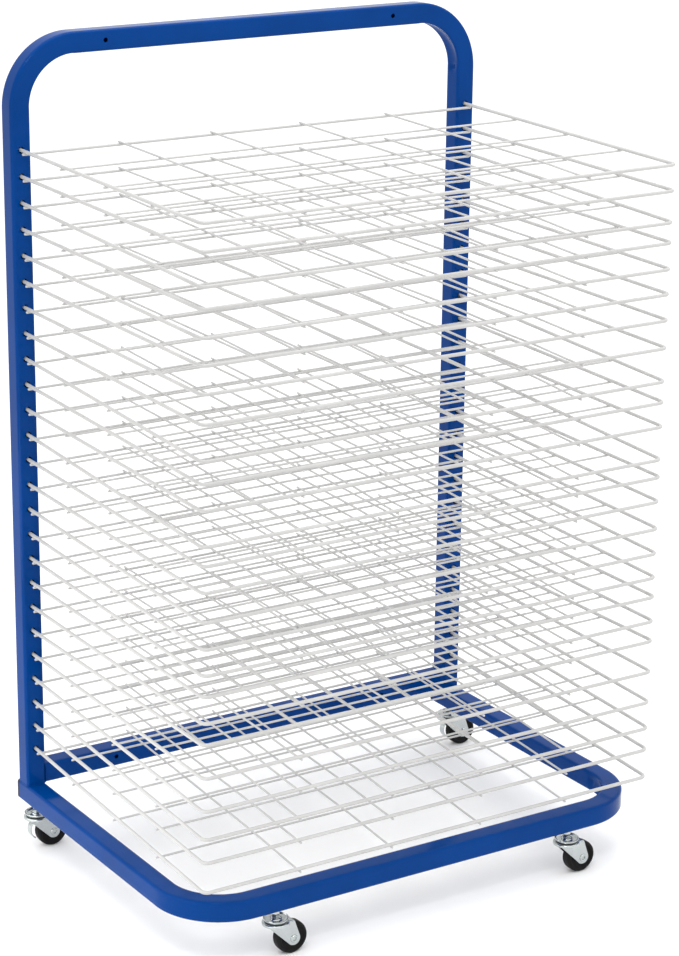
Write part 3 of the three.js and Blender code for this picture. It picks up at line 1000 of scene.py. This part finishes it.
def leg_outline(castor):
    """A fork leg in (trail, height): two tangents from the crown to a round end about the axle."""
    axle = np.array([castor.trail, castor.wheel / 2])
    top = castor.crown_top - castor.sheet / 2
    front, back = np.array([-17.5 * MM, top - castor.sheet]), np.array([castor.leg_back, top])

    def tangent(corner, turn):
        away = corner - axle
        return math.atan2(away[1], away[0]) + turn * math.acos(castor.fork_end / np.linalg.norm(away))

    angles = np.linspace(tangent(back, -1), tangent(front, 1) - 2 * math.pi, 18)
    arc = [axle + castor.fork_end * np.array([math.cos(angle), math.sin(angle)]) for angle in angles]
    return [front, back, *arc]


class RACK_OT_forks(Operator):
    """Press the castor forks: a cupped crown and two tapered legs"""

    bl_idname = "rack.forks"
    bl_label = "Castor forks"

    def execute(self, context):
        castor = context.scene.rack_castor
        top = castor.crown_top
        under = top - castor.sheet
        crown, bore = castor.crown / 2, 5.3 * MM
        shell = Shell()
        shell.turned([
            (bore, under),
            *set_off(crown, under, (-4, 0), (-2.6, -0.6)),
            *set_off(
                crown, top, (-1.9, -4.4), (-0.4, -4.4), (0, -4), (0, -1.6), (-0.5, -0.6), (-1.6, 0),
            ),
            (bore, top),
        ], 64, closed=True)
        outline = leg_outline(castor)
        near = castor.fork_gap / 2
        wide = near + castor.sheet
        for low, high in ((-wide, -near), (near, wide)):
            shell.plate(outline, low, high, 0.4 * MM)
        round_off = 2.2 * MM
        fold = [
            (wide - round_off * (1 - math.cos(angle)), top - round_off * (1 - math.sin(angle)))
            for angle in np.linspace(0, math.pi / 2, 6)
        ]
        section = [*fold, *[(-y, z) for y, z in reversed(fold)], (-wide, under), (wide, under)]
        steps = [(8 * MM, 0), *set_off(castor.leg_back, 0, (-1.6, 0), (-0.5, 0.5), (0, 1.4))]
        shell.rings([[(x, y, min(z, top - fall)) for y, z in section] for x, fall in steps])
        made = shell.mesh("castor_fork")
        castor_pieces("fork", made, "zinc_plate", lambda name: f"{name}_fork")
        return {"FINISHED"}


def across_axle(castor):
    """From the castor's foot to the middle of its axle."""
    return Matrix.Translation((castor.trail, 0, castor.wheel / 2))


def lay_over(shell):
    """A turned piece laid over so that its axis runs along Y."""
    shell.points = [(x, -z, y) for x, y, z in shell.points]
    return shell


class RACK_OT_axles(Operator):
    """Rivet the axles through the fork legs"""

    bl_idname = "rack.axles"
    bl_label = "Castor axles"

    def execute(self, context):
        castor = context.scene.rack_castor
        shaft = castor.axle / 2
        seat = castor.fork_gap / 2 + castor.sheet + 0.1 * MM
        half = [
            (shaft, 0), (shaft, seat),
            *set_off(
                0, seat, (6, 0), (5.9, 0.7), (5.2, 1.5), (4.2, 1.85), (3.3, 1.6), (2.8, -1.6), (0, -1.9),
            ),
        ]
        profile = [(radius, -along) for radius, along in reversed(half[1:])] + half
        made = lay_over(Shell().turned(profile, 40)).mesh("castor_axle")
        castor_pieces(
            "axle", made, "zinc_plate", lambda name: f"{name}_fork", lift=across_axle(castor),
        )
        return {"FINISHED"}


class RACK_OT_wheels(Operator):
    """Mould the castor wheels with a crowned tread, recessed faces and a hub"""

    bl_idname = "rack.wheels"
    bl_label = "Castor wheels"

    def execute(self, context):
        castor = context.scene.rack_castor
        tread, half = castor.wheel / 2, castor.wheel_width / 2
        hub_end = castor.fork_gap / 2 - PLAY
        bore = castor.axle / 2 + PLAY
        flank = [
            (bore, hub_end),
            *set_off(0, hub_end, (7.2, 0), (7.8, -0.5)),
            *set_off(
                0, half, (8.4, -2.4), (9.2, -2.8), (17.2, -2.4), (18.4, -1.9), (19.2, -0.6), (20, 0),
                (21.8, 0), (23.2, -0.5), (24.2, -1.5), (24.8, -3.2),
            ),
            *set_off(tread, half, (0, -5.5)),
        ]
        profile = [(radius, -along) for radius, along in flank] + flank[::-1]
        made = lay_over(Shell().turned(profile, 72, closed=True)).mesh("castor_wheel", 40)
        castor_pieces(
            "wheel", made, "black_wheel", lambda name: f"{name}_wheel",
            lift=across_axle(castor),
        )
        return {"FINISHED"}


def smooth_line(points, steps):
    """A soft curve through points."""
    points = np.array([2 * points[0] - points[1], *points, 2 * points[-1] - points[-2]])
    line = []
    for i in range(1, len(points) - 2):
        before, here, there, after = points[i - 1:i + 3]
        for share in np.arange(steps) / steps:
            line.append(0.5 * (
                2 * here + (there - before) * share
                + (2 * before - 5 * here + 4 * there - after) * share ** 2
                + (3 * here - before - 3 * there + after) * share ** 3
            ))
    return np.array([*line, points[-2]])


class RACK_OT_brakes(Operator):
    """Bend the brake levers that hang before the rear wheels"""

    bl_idname = "rack.brakes"
    bl_label = "Castor brakes"

    def execute(self, context):
        castor = context.scene.rack_castor
        line = smooth_line([BRAKE_PIVOT, *BRAKE_STRIP], 6)
        along = np.gradient(line, axis=0)
        along = along / np.linalg.norm(along, axis=1)[:, None]
        off = np.stack([-along[:, 1], along[:, 0]], 1) * castor.brake_sheet / 2
        edge = castor.brake_width / 2
        shell = Shell()
        shell.plate([*(line + off), *reversed(line - off)], -edge, edge, 0.3 * MM)
        half = castor.fork_gap / 2 - PLAY
        barrel = [
            *set_off(0, -half, (0, 0), (2.5, 0), (3, 0.5)),
            *set_off(0, half, (3, -0.5), (2.5, 0), (0, 0)),
        ]
        pin = lay_over(Shell().turned(barrel, 28))
        first = len(shell.points)
        pivot_x, pivot_z = BRAKE_PIVOT
        shell.points += [(x + pivot_x, y, z + pivot_z) for x, y, z in pin.points]
        shell.faces += [tuple(first + corner for corner in face) for face in pin.faces]
        made = shell.mesh("castor_brake")
        castor_pieces("brake", made, "zinc_plate", lambda name: f"{name}_brake", BRAKED)
        return {"FINISHED"}


# Stage


# Name, place, aim, width and height in metres, and watts
SOFTBOXES = (
    ("left_softbox", (-1.0, -0.05, 0.35), (-0.4, -0.05, 0.08), 1.3, 0.3, 2.8),
    ("key_softbox", (-1.46, -1.67, 3.0), (0, 0, 1), 0.45, 0.45, 16),
    ("top_softbox", (0.4, -0.2, 3.4), (0, 0, 0.5), 2.2, 1.6, 22),
)


def softbox(name, spot, aim, width, height, power):
    light = bpy.data.lights.new(name, "AREA")
    light.shape = "RECTANGLE"
    light.size, light.size_y = width, height
    light.energy = power
    made = stand(name, light)
    made.location = spot
    made.rotation_euler = (Vector(aim) - Vector(spot)).to_track_quat("-Z", "Y").to_euler()


class RACK_OT_stage(Operator):
    """Lay the plain pale floor, set the soft light and stand the camera"""

    bl_idname = "rack.stage"
    bl_label = "Stage"

    def execute(self, context):
        scene = context.scene
        stage = scene.rack_stage
        reach = stage.floor / 2
        corners = [(-reach, -reach, 0), (reach, -reach, 0), (reach, reach, 0), (-reach, reach, 0)]
        mesh = bpy.data.meshes.new("floor")
        mesh.from_pydata(corners, [], [(0, 1, 2, 3)])
        mesh.materials.append(finish_of("pale_floor"))
        floor = stand("floor", mesh)

        world = bpy.data.worlds.new("soft_room")
        scene.world = world
        world.use_nodes = True
        room = world.node_tree.nodes["Background"]
        room.inputs["Color"].default_value = (1, 1, 1, 1)
        room.inputs["Strength"].default_value = stage.room

        sun = bpy.data.lights.new("ceiling", "SUN")
        sun.energy = stage.ceiling
        sun.angle = stage.ceiling_spread
        stand("ceiling", sun).rotation_euler = (math.radians(4), math.radians(10), 0)
        for row in SOFTBOXES:
            softbox(*row)

        lens = bpy.data.cameras.new("photo_camera")
        lens.sensor_width = 36
        lens.lens = stage.lens
        lens.shift_x = stage.shift
        lens.clip_end = 200
        camera = stand("photo_camera", lens)
        camera.location = stage.camera
        camera.rotation_euler = (math.pi / 2 - stage.pitch, 0, -stage.yaw)
        scene.camera = camera
        scene.view_settings.view_transform = "Standard"
        return {"FINISHED"}


# Add-on


SETTINGS = {
    "rack_tube": RackTubeSettings,
    "rack_shelf": RackShelfSettings,
    "rack_castor": RackCastorSettings,
    "rack_finish": RackFinishSettings,
    "rack_stage": RackStageSettings,
}
STEPS = (
    RACK_OT_stage, RACK_OT_tubes, RACK_OT_welds, RACK_OT_plugs, RACK_OT_shelves, RACK_OT_stems, RACK_OT_races,
    RACK_OT_forks, RACK_OT_axles, RACK_OT_wheels, RACK_OT_brakes,
)


class RACK_PT_panel(Panel):
    """The rack's building steps"""

    bl_idname = "RACK_PT_panel"
    bl_label = "Art Drying Rack"
    bl_space_type = "VIEW_3D"
    bl_region_type = "UI"
    bl_category = "Drying Rack"

    def draw(self, context):
        for step in STEPS:
            self.layout.operator(step.bl_idname)
        for name, kind in SETTINGS.items():
            box = self.layout.box()
            for key in kind.__annotations__:
                box.prop(getattr(context.scene, name), key)


def register():
    for kind in (*SETTINGS.values(), *STEPS, RACK_PT_panel):
        bpy.utils.register_class(kind)
    for name, kind in SETTINGS.items():
        setattr(bpy.types.Scene, name, PointerProperty(type=kind))


def unregister():
    for name in SETTINGS:
        delattr(bpy.types.Scene, name)
    for kind in reversed((*SETTINGS.values(), *STEPS, RACK_PT_panel)):
        bpy.utils.unregister_class(kind)


def main():
    register()
    for step in STEPS:
        group, name = step.bl_idname.split(".")
        getattr(getattr(bpy.ops, group), name)()


if __name__ == "__main__":
    main()
